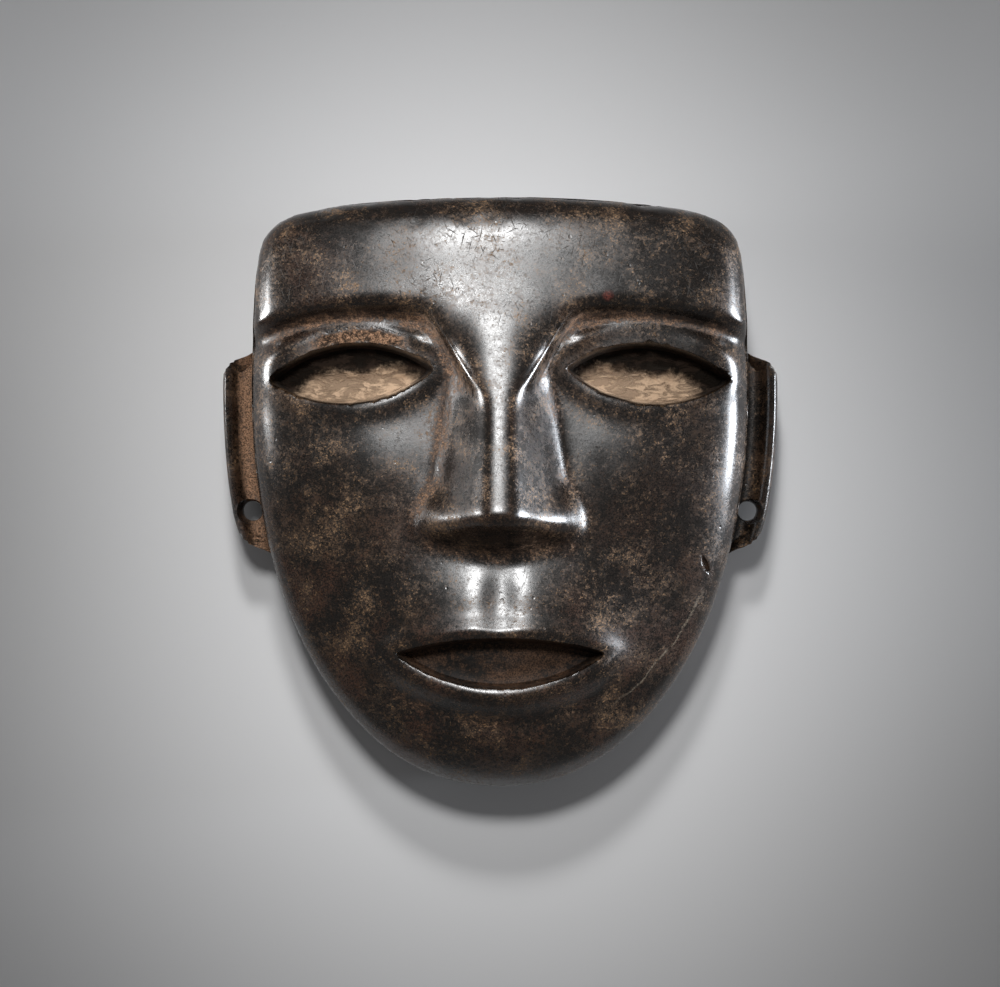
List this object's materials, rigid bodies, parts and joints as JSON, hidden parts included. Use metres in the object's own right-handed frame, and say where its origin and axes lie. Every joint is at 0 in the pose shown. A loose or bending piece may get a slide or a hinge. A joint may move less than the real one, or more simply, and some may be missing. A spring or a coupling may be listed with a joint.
{
  "type": "teotihuacan mask",
  "caption": "Carved dark stone face mask with hollow eyes and mouth, slab ears with drilled lobes and a shallow hollow back; lies on its back rim.",
  "frame": {"origin": "middle of the mask's outline, on the plane that its back rim rests on", "axes": "+X across the face to the viewer's right, +Y up the face to the cut top of the forehead, +Z out of the face"},
  "size_m": [0.1906, 0.2, 0.0853],
  "materials": {
    "stone": "polished dark brown-black stone with tan deposits in the recesses"
  },
  "bodies": {
    "root": {"mask": "stone"}
  },
  "joints": []
}
